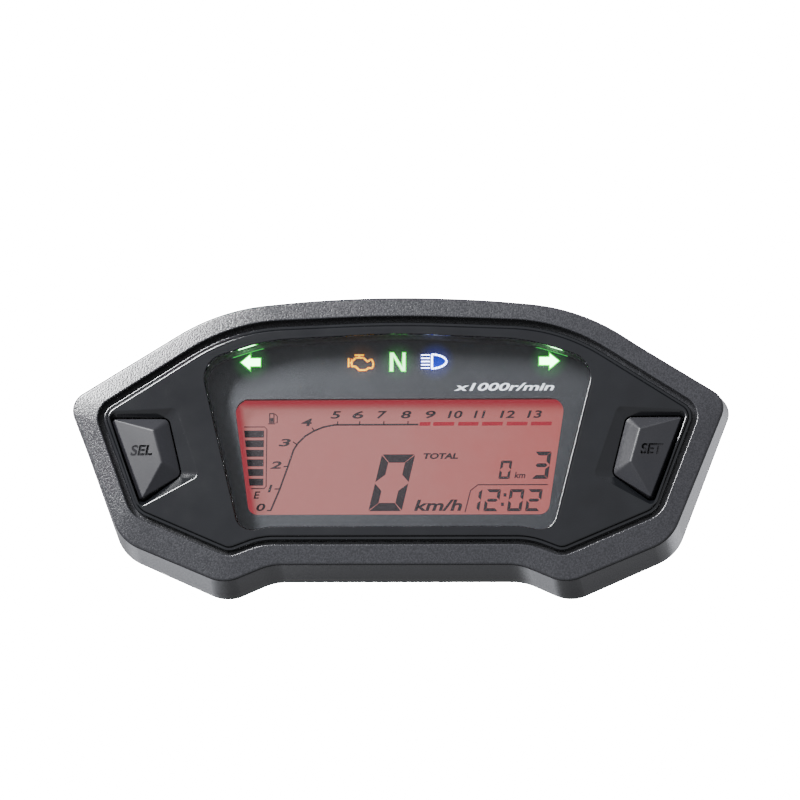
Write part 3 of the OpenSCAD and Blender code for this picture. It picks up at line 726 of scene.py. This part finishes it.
def make_icons():
    edge_lift, core_lift, icon_t = 0.05, 0.08, 0.03
    fill_lift, print_lift, print_t = 0.04, 0.03, 0.02

    def symbol(name, edge_paint, core_paint, shapes, origin_x, core=0.22, flip=1):
        """A coloured edge with a brighter core in front of it, narrower by core on every side."""
        for part, paint, face, shape_of in (
                ("edge", edge_paint, DIAL - edge_lift, lambda outline: outline),
                ("core", core_paint, DIAL - core_lift, lambda outline: shrunk(outline, core)[1])):
            solid = Solid()
            for shape in shapes:
                outline = [(origin_x + flip * x, TELLTALE_Z + z) for x, z in shape_of(shape)]
                solid.prism(outline, face, face + icon_t)
            piece(f"{name}_{part}", solid.mesh(name + part), paint)

    arrow = [(-2.85, 0), (0, 2.4), (0, 1.2), (2.5, 1.2), (2.5, -1.2), (0, -1.2), (0, -2.4)]
    symbol("left_turn_symbol", EDGE_GREEN, CORE_GREEN, [arrow], -ARROW_X, 0.3)
    symbol("right_turn_symbol", EDGE_GREEN, CORE_GREEN, [arrow], ARROW_X, 0.3, -1)
    letter_n = [(-2.1, -2.5), (-2.1, 2.4), (-0.95, 2.4), (0.93, -0.7), (0.93, 2.4),
                (2.0, 2.4), (2.0, -2.5), (0.85, -2.5), (-0.98, 0.55), (-0.98, -2.5)]
    symbol("neutral_symbol", EDGE_GREEN, SOFT_GREEN, [letter_n], NEUTRAL_X)
    block = [(-2.5, 0.9), (-2.0, 0.6), (-1.35, 1.25), (0.65, 1.25), (1.65, 0.35), (2.2, 0.75),
             (2.8, 0.7), (3.25, -0.1), (3.25, -1.1), (2.8, -1.85), (1.9, -1.8), (1.25, -2.3),
             (-0.5, -2.3), (-1.4, -1.4), (-2.5, -1.3)]
    engine = band(block, 0.5)
    engine += [box_outline(-1.6, 0.75, 1.4, 1.9), box_outline(-0.7, -0.15, 1.1, 1.5),
               box_outline(-3.25, -2.75, -1.35, 0.95), box_outline(-2.8, -2.4, -0.45, 0.05)]
    symbol("engine_symbol", EDGE_AMBER, CORE_AMBER, engine, ENGINE_X, 0.1)
    turns = [math.pi * k / 14 for k in range(15)]
    outer = [(-1.1 + 4.1 * math.sin(a), 2.05 * math.cos(a)) for a in turns]
    pitch, bar = 0.8, 0.4
    bars = [box_outline(-3.5, -1.25, pitch * k - bar / 2, pitch * k + bar / 2) for k in range(-2, 3)]
    symbol("high_beam_symbol", EDGE_BLUE, CORE_WHITE, band(outer, 0.58) + bars,
           BEAM_X, 0.08)
    solid = Solid()
    solid.prism([(BEAM_X + x, TELLTALE_Z + z) for x, z in shrunk(outer, 0.4)[1]],
                DIAL - fill_lift, DIAL - fill_lift + print_t)
    piece("high_beam_fill", solid.mesh("high_beam_fill"), FILL_BLUE)
    solid = Solid()
    write(solid, "x1000r/min", 13.3, 37.6, 13.85, 15.75, DIAL - print_lift, print_t, 0.25, 0.022)
    piece("rev_counter_legend", solid.mesh("rev_counter_legend"), LEGEND_WHITE)


# ---- Display content ----

SEGMENTS_OF = {"0": "abcdef", "1": "bc", "2": "abged", "3": "abgcd", "8": "abcdefg"}


def digit_bars(character, x0, z0, width, height, bar, slant):
    """The bars of a seven-segment digit whose lower left corner is at x0, z0."""
    gap = bar * 0.09
    half = height / 2

    def place(x, z):
        return (x0 + x + slant * z, z0 + z)

    def flat(z, low, high):
        """A horizontal bar: low and high say how far it narrows on its lower and upper side."""
        return [place(gap + low, z), place(gap + high, z + bar),
                place(width - gap - high, z + bar), place(width - gap - low, z)]

    def upright(x, z_low, z_high, inner):
        """A vertical bar, cut at 45 degrees towards its inner side."""
        a, b = (x, x + bar) if inner > 0 else (x + bar, x)
        return [place(a, z_low + gap), place(a, z_high - gap),
                place(b, z_high - gap - bar * 0.9), place(b, z_low + gap + bar * 0.9)]

    middle = half - bar / 2
    bars = {
        "a": flat(height - bar, bar, 0), "d": flat(0, 0, bar),
        "g": [place(gap + bar * 0.5, half), place(gap + bar, half + bar / 2),
              place(width - gap - bar, half + bar / 2), place(width - gap - bar * 0.5, half),
              place(width - gap - bar, middle), place(gap + bar, middle)],
        "f": upright(0, half, height, 1), "e": upright(0, 0, half, 1),
        "b": upright(width - bar, half, height, -1), "c": upright(width - bar, 0, half, -1),
    }
    return [bars[key] for key in SEGMENTS_OF[character]]


NUMERALS = [("0", -33.8, -13.9, 2.2), ("1", -31.6, -9.3, 1.2), ("2", -30.3, -3.5, 2.8),
            ("3", -28.2, 2.0, 3.0), ("4", -22.9, 7.0, 2.7), ("5", -15.8, 8.8, 2.6),
            ("6", -10.4, 8.8, 2.7), ("7", -4.5, 8.8, 2.5), ("8", 1.4, 8.8, 2.6),
            ("9", 7.4, 8.8, 2.5), ("10", 13.3, 8.8, 3.7), ("11", 19.3, 8.8, 3.0),
            ("12", 26.0, 8.8, 3.7), ("13", 32.6, 8.8, 3.7)]
REV_CURVE = [(-31.4, -14.7), (-29.3, -9.6), (-27.4, -4.1), (-26.0, 0.2), (-25.0, 1.8),
             (-23.2, 3.6), (-21.0, 4.9), (-18.8, 5.8), (-16.0, 6.35), (4.4, 6.35)]
REV_TICKS = [[(-32.3, -14.7), (-31.3, -14.7)], [(-30.5, -9.4), (-29.3, -9.4)],
             [(-28.4, -3.9), (-27.4, -3.9)], [(-26.2, 2.2), (-25.2, 1.5)],
             [(-21.6, 5.7), (-21.0, 4.9)], [(-15.4, 6.35), (-15.3, 7.2)],
             [(-10.0, 6.35), (-9.9, 7.2)], [(-4.1, 6.35), (-4.0, 7.2)], [(1.8, 6.35), (1.9, 7.2)]]
# Digits, as character, x, z, width, height, bar width and slant.
SPEED = ("0", -7.6, -14.9, 8.1, 13.9, 2.0, 0.23)
TOTAL = ("0", 23.9, -7.1, 2.7, 4.5, 0.62, 0.16)
GEAR = ("3", 31.9, -7.1, 4.0, 6.7, 0.95, 0.14)
CLOCK = [(digit, x, -15.0, width, 5.4, 0.75, 0.15) for digit, x, width in
         (("1", 17.1, 2.2), ("2", 20.3, 3.5), ("0", 26.0, 3.5), ("2", 30.4, 3.5))]
CLOCK_DOTS = [(25.2, 25.9, -11.4, -10.6), (24.6, 25.3, -13.7, -12.9)]
# Words, as text, x and z from and to, shear and weight.
WORDS = [("E", -35.6, -34.0, -11.8, -10.0, 0.2, 0.02), ("km/h", 3.5, 15.2, -14.9, -12.1, 0.22, 0.025),
         ("TOTAL", 5.7, 14.1, -2.15, -0.7, 0.2, 0.04), ("km", 27.8, 30.5, -6.9, -5.4, 0.2, 0.02)]
FUEL_BARS = 6
FUEL_LEFT, FUEL_RIGHT, FUEL_TOP = -38.2, -33.3, 5.0
FUEL_PITCH, FUEL_TALL, FUEL_LEAN = 2.37, 1.72, 0.26
FUEL_FRAME = [(-38.2, 5.9), (-33.2, 5.9), (-32.6, 5.3), (-32.6, -8.8), (-33.1, -9.3), (-36.3, -9.3)]
CLOCK_FRAME = [(15.9, -15.2), (17.2, -9.9), (19.0, -8.5), (35.9, -8.5)]
PUMP_BODY, PUMP_LINE = (-32.1, -30.8, 6.9, 9.3), 0.25
PUMP_FILL, PUMP_FOOT = (-31.8, -31.1, 7.2, 8.1), (-32.3, -30.6, 6.55, 6.8)
PUMP_HOSE = [(-30.7, 9.1), (-30.1, 8.5), (-30.1, 6.9), (-30.5, 6.9)]
RED_BARS = [(4.6, 7.4), (7.9, 13.2), (14.0, 19.1), (19.8, 25.0), (25.8, 31.0), (31.7, 36.9)]


def stroke(solid, points, width, y0, y1):
    """A line of one width through points, as one closed prism."""
    left, right = [], []
    for i, (x, z) in enumerate(points):
        before = points[max(i - 1, 0)]
        after = points[min(i + 1, len(points) - 1)]
        along = Vector((after[0] - before[0], after[1] - before[1])).normalized()
        side = Vector((-along.y, along.x)) * width / 2
        left.append((x + side.x, z + side.y))
        right.append((x - side.x, z - side.y))
    solid.prism(left + right[::-1], y0, y1)


def make_display():
    lift, segment_t, numeral_tall, slope = 0.05, 0.04, 1.85, 0.25
    front, back = LCD - lift, LCD - lift + segment_t
    dark, red = Solid(), Solid()
    for digit in (SPEED, TOTAL, GEAR, *CLOCK):
        for outline in digit_bars(*digit):
            dark.prism(outline, front, back)
    for dot in CLOCK_DOTS:
        dark.prism(box_outline(*dot), front, back)
    for i in range(FUEL_BARS):
        top, left = FUEL_TOP - FUEL_PITCH * i, FUEL_LEFT + FUEL_LEAN * i
        dark.prism([(left, top), (FUEL_RIGHT, top), (FUEL_RIGHT, top - FUEL_TALL),
                    (left + slope, top - FUEL_TALL)], front, back)
    stroke(dark, FUEL_FRAME, 0.22, front, back)
    stroke(dark, REV_CURVE, 0.42, front, back)
    for tick in REV_TICKS:
        stroke(dark, tick, 0.28, front, back)
    stroke(dark, CLOCK_FRAME, 0.25, front, back)
    for number, x, z, wide in NUMERALS:
        write(dark, number, x - wide / 2, x + wide / 2, z - numeral_tall / 2, z + numeral_tall / 2,
              front, segment_t, 0.2, 0.024)
    for text, x0, x1, z0, z1, shear, weight in WORDS:
        write(dark, text, x0, x1, z0, z1, front, segment_t, shear, weight)
    pump = band(box_outline(*PUMP_BODY), PUMP_LINE)
    pump += [box_outline(*PUMP_FILL), box_outline(*PUMP_FOOT)]
    for outline in pump:
        dark.prism(outline, front, back)
    stroke(dark, PUMP_HOSE, 0.24, front, back)
    skew, low, high = 0.2, 6.05, 6.95
    for x0, x1 in RED_BARS:
        red.prism([(x0, low), (x0 + skew, high), (x1, high), (x1 - skew, low)], front, back)
    piece("lit_segments", dark.mesh("lit_segments"), SEGMENT, weighted=False)
    piece("red_zone_segments", red.mesh("red_zone_segments"), RED_SEGMENT,
          weighted=False)


# ---- Buttons ----

def hull_mesh(points, balls, name):
    """The convex hull of points and of balls given as (centre, radius), so its ridges are round."""
    bm = bmesh.new()
    for p in points:
        bm.verts.new(Vector(p) * MM)
    for centre, radius in balls:
        place = Matrix.Translation(centre * MM)
        bmesh.ops.create_icosphere(bm, subdivisions=4, radius=radius * MM, matrix=place)
    bmesh.ops.delete(bm, geom=bm.edges[:] + bm.faces[:], context="EDGES_FACES")
    bmesh.ops.convex_hull(bm, input=bm.verts)
    inside = [v for v in bm.verts if not v.link_faces]
    bmesh.ops.delete(bm, geom=inside, context="VERTS")
    bmesh.ops.dissolve_limit(bm, angle_limit=math.radians(0.6), verts=bm.verts, edges=bm.edges)
    data = bpy.data.meshes.new(name)
    bm.to_mesh(data)
    bm.free()
    return data


def baked(data, *modifiers):
    """The mesh with modifiers applied, given as (kind, settings)."""
    obj = bpy.data.objects.new("bake", data)
    bpy.context.scene.collection.objects.link(obj)
    for kind, settings in modifiers:
        modifier = obj.modifiers.new(kind, kind)
        for key, value in settings.items():
            setattr(modifier, key, value)
    bpy.context.view_layer.update()
    result = bpy.data.meshes.new_from_object(
        obj.evaluated_get(bpy.context.evaluated_depsgraph_get()))
    bpy.data.objects.remove(obj)
    return result


def letter_block(word, centre, right, up, normal, top, bottom):
    """The letters as closed blocks on a sloping face, reaching from bottom to top above it."""
    wide, tall = 5.5, 2.6
    verts, faces, size = letters(word, 0.18, 0.03)
    placed = []
    for v in verts:
        across = right * ((v.x / size.x - 0.5) * wide)
        along = up * ((v.y / size.y - 0.5) * tall)
        placed.append(tuple(centre + across + along + normal * (top if v.z > 0 else bottom)))
    block = Solid()
    block.join(placed, faces)
    return block


def make_button(side, body, word):
    """A wedge-shaped cap with its word sunk into the outer facet, and the stem behind it."""
    cap_rear, cap_waist = PANEL_REAR + 1.2, PANEL + 1.3
    tip_r, ridge_r, tip_proud, ridge_play = 0.4, 1.0, 0.1, 0.02
    points = []
    for x, z in rounded(CAP, 6):
        points += [(side * x, cap_rear, z), (side * x, cap_waist, z)]
    tips = [Vector((side * x, PANEL - tip_proud + tip_r, z)) for x, z in OUTER_TIPS]
    ridge = [Vector((side * x, CAP_FRONT + ridge_play + ridge_r, z)) for x, z in RIDGE]
    balls = [(centre, tip_r) for centre in tips] + [(centre, ridge_r) for centre in ridge]

    # The outer facet's own directions, and the middle of the word on it.
    normal = (tips[1] - tips[0]).cross(ridge[0] - tips[0]).normalized()
    normal = -normal if normal.y > 0 else normal
    right = (Vector((1, 0, 0)) - normal * normal.x).normalized()
    up = normal.cross(right)
    up = up if up.z > 0 else -up
    centre = Vector((side * LEGEND_SPOT[0], 0, LEGEND_SPOT[1]))
    offset = centre - tips[0]
    centre.y = tips[0].y - (normal.x * offset.x + normal.z * offset.z) / normal.y
    centre += normal * (tip_r + ridge_r) / 2

    # The word is cut into the cap, and a thin darker sheet in the bottom of the cut is painted shade
    # in the letters.
    name = word.lower()
    depth, shade_sheet, above = 0.3, 0.03, 0.6
    block = letter_block(word, centre, right, up, normal, above, -depth)
    cutter = bpy.data.objects.new("cutter", block.mesh("cutter"))
    bpy.context.scene.collection.objects.link(cutter)
    cap = baked(hull_mesh(points, balls, "cap"),
                ("BEVEL", {"width": 0.12 * MM, "segments": 2, "limit_method": "ANGLE",
                           "angle_limit": math.radians(35)}),
                ("BOOLEAN", {"operation": "DIFFERENCE", "object": cutter, "solver": "EXACT",
                             "use_self": True, "use_hole_tolerant": True}))
    bpy.data.objects.remove(cutter)
    solid = Solid()
    solid.join([tuple(v.co / MM) for v in cap.vertices], [tuple(p.vertices) for p in cap.polygons])
    stem_r, stem_chamfer, sunk = 2.5, 0.4, 0.2
    solid.lathe([(0, cap_rear - sunk), (stem_r, cap_rear - sunk), (stem_r, PLUNGER - stem_chamfer),
                 (stem_r - stem_chamfer, PLUNGER), (0, PLUNGER)], side * STEM[0], STEM[1])
    piece(name + "_cap", solid.mesh(name + "_cap"), BUTTON, body,
          [name + "_button"], smooth=28)
    legend = letter_block(word, centre, right, up, normal, shade_sheet - depth, -depth)
    piece(name + "_legend", legend.mesh(name + "_legend"), BUTTON_LEGEND_SHADE, body,
          weighted=False)


# ---- Carried-over CAD pieces ----

def refined(node, material, bevel_mm, segments=2):
    """A bevelled, smooth-shaded copy of a CAD node that stands for it."""
    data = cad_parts[node].data.copy()
    bm = bmesh.new()
    bm.from_mesh(data)
    bmesh.ops.remove_doubles(bm, verts=bm.verts, dist=2e-6)
    bmesh.ops.dissolve_limit(bm, angle_limit=math.radians(1), verts=bm.verts, edges=bm.edges)
    bm.to_mesh(data)
    bm.free()
    if data.attributes.get("custom_normal"):
        data.attributes.remove(data.attributes["custom_normal"])
    data = baked(data, ("BEVEL", {"width": bevel_mm * MM, "segments": segments,
                                  "limit_method": "ANGLE", "angle_limit": math.radians(40),
                                  "use_clamp_overlap": True}))
    piece(node + "_shell", data, material, stands_for=[node], smooth=35)


KEPT = [
    ("mask_carrier", CARRIER), ("turn_signal_lenses", GREEN), ("engine_lens", AMBER),
    ("neutral_lens", GREEN), ("high_beam_lens", BLUE), ("telltale_light_box", WHITE),
    ("telltale_leds", LED), ("lcd_foam_gasket", FOAM), ("lcd_front_polariser", LCD_FACE),
    ("lcd_front_glass", LCD_GLASS), ("lcd_rear_glass", LCD_GLASS),
    ("lcd_rear_polariser", LCD_GLASS), ("lcd_pins", PIN), ("diffuser_sheet", DIFFUSER),
    ("light_guide", GUIDE), ("reflector_sheet", DIFFUSER), ("backlight_frame", WHITE),
    ("backlight_leds", RED_LED), ("main_pcb", BOARD), ("microcontroller", CHIP),
    ("lcd_driver_chip", CHIP), ("voltage_regulator", CHIP), ("capacitors", CAN),
    ("quartz_crystal", CRYSTAL), ("chip_resistors", CHIP), ("tactile_switches", SWITCH),
    ("sel_switch_plunger", SWITCH), ("set_switch_plunger", SWITCH), ("button_seals", SILICONE),
    ("housing_gasket", SEAL), ("pcb_screws", STEEL), ("vent_membrane", MEMBRANE),
]


def finish_kept_nodes():
    for node, material in KEPT:
        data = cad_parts[node].data
        data.materials.clear()
        data.materials.append(material)


# ---- Stage ----

FRONT_LEFT_GLOW, FRONT_RIGHT_GLOW = 0.86, 0.72
BACK_GLOW, LOW_BACK_GLOW = 0.78, 0.22
PAPER_WHITE = 26.0


def area_light(name, place, target, size, power, color):
    light = bpy.data.lights.new(name, "AREA")
    light.shape = "RECTANGLE"
    light.size, light.size_y = size
    light.energy = power
    light.color = color
    obj = bpy.data.objects.new(name, light)
    bpy.context.scene.collection.objects.link(obj)
    obj.location = place
    obj.rotation_euler = (Vector(target) - Vector(place)).to_track_quat("-Z", "Y").to_euler()


def make_world():
    """A studio all round: white to the camera, brightest at the front left, dark low behind."""
    world = bpy.data.worlds.new("studio")
    bpy.context.scene.world = world
    world.use_nodes = True
    tree = world.node_tree
    link = tree.links.new
    room = tree.nodes["Background"]
    room.inputs["Color"].default_value = (0.93, 0.945, 1, 1)
    direction = tree.nodes.new("ShaderNodeTexCoord")
    axes = tree.nodes.new("ShaderNodeSeparateXYZ")
    link(direction.outputs["Generated"], axes.inputs["Vector"])

    def ramp(axis, begin, finish, low, high):
        return ranged(tree, axes.outputs[axis], begin, finish, low, high, "SMOOTHSTEP")

    share = tree.nodes.new("ShaderNodeMix")
    link(ramp("Y", -0.3, 0.3, 0, 1), share.inputs["Factor"])
    link(ramp("X", -0.22, 0.08, FRONT_LEFT_GLOW, FRONT_RIGHT_GLOW), share.inputs[2])
    link(ramp("Z", -0.55, -0.1, LOW_BACK_GLOW, BACK_GLOW), share.inputs[3])
    link(share.outputs["Result"], room.inputs["Strength"])
    paper = tree.nodes.new("ShaderNodeBackground")
    paper.inputs["Color"].default_value = (1, 1, 1, 1)
    paper.inputs["Strength"].default_value = PAPER_WHITE
    path = tree.nodes.new("ShaderNodeLightPath")
    mix = tree.nodes.new("ShaderNodeMixShader")
    link(path.outputs["Is Camera Ray"], mix.inputs["Fac"])
    link(room.outputs["Background"], mix.inputs[1])
    link(paper.outputs["Background"], mix.inputs[2])
    link(mix.outputs["Shader"], tree.nodes["World Output"].inputs["Surface"])


def make_floor():
    half, drop = 12.0, -0.6
    floor = bpy.data.meshes.new("floor")
    floor.from_pydata([(-half, -half, drop), (half, -half, drop), (half, half, drop),
                       (-half, half, drop)], [], [(0, 1, 2, 3)])
    paint = Paint("floor_paint", (0.85, 0.85, 0.86), 0.8)
    paint.bump(paint.noise(30, 3), 0.2)
    floor.materials.append(paint.material)
    obj = bpy.data.objects.new("floor", floor)
    bpy.context.scene.collection.objects.link(obj)
    obj.visible_diffuse = False
    obj.visible_glossy = False


def make_lights():
    middle = Vector((0, -0.035, 0.01))
    softbox = middle + Vector((-0.391, -0.573, 0.40))
    area_light("softbox", softbox, middle, (0.14, 0.46), 39, (0.98, 0.985, 1.0))
    area_light("side", middle + Vector((-0.9, 0, 0.12)), middle, (0.4, 0.5), 13, (0.98, 0.985, 1.0))
    area_light("back_left", (-0.42, 1.15, -0.37), middle, (0.5, 0.35), 0.55, (0.9, 0.92, 1.0))
    area_light("back_right", (0.62, 1.15, -0.03), middle, (0.35, 0.6), 0.9, (0.92, 0.93, 1.0))


def make_camera():
    azimuth, elevation = math.radians(4.42), math.radians(-10)
    roll, distance = math.radians(0.53), 1.052
    target = Vector((0.35, -34, 11.3)) * MM
    away = Vector((math.sin(azimuth) * math.cos(elevation),
                   -math.cos(azimuth) * math.cos(elevation), math.sin(elevation)))
    data = bpy.data.cameras.new("camera")
    data.sensor_width = 36
    data.lens = 195.7
    obj = bpy.data.objects.new("camera", data)
    bpy.context.scene.collection.objects.link(obj)
    obj.location = target + away * distance
    facing = (-away).to_track_quat("-Z", "Y") @ Quaternion((0, 0, 1), roll)
    obj.rotation_euler = facing.to_euler()
    bpy.context.scene.camera = obj


make_camera()
make_world()
make_floor()
make_lights()
make_bezel()
make_panel()
make_window()
make_seal()
make_dial()
make_icons()
make_display()
make_button(-1, "sel_button_body", "SEL")
make_button(1, "set_button_body", "SET")
refined("rear_housing", HOUSING, 0.4, 3)
refined("connector_shell", SOCKET, 0.2)
refined("connector_pins", BRASS, 0.12)
refined("case_screws", STEEL, 0.18)
refined("mount_inserts", BRASS, 0.2)
refined("vent_plug", HOUSING, 0.15)
finish_kept_nodes()
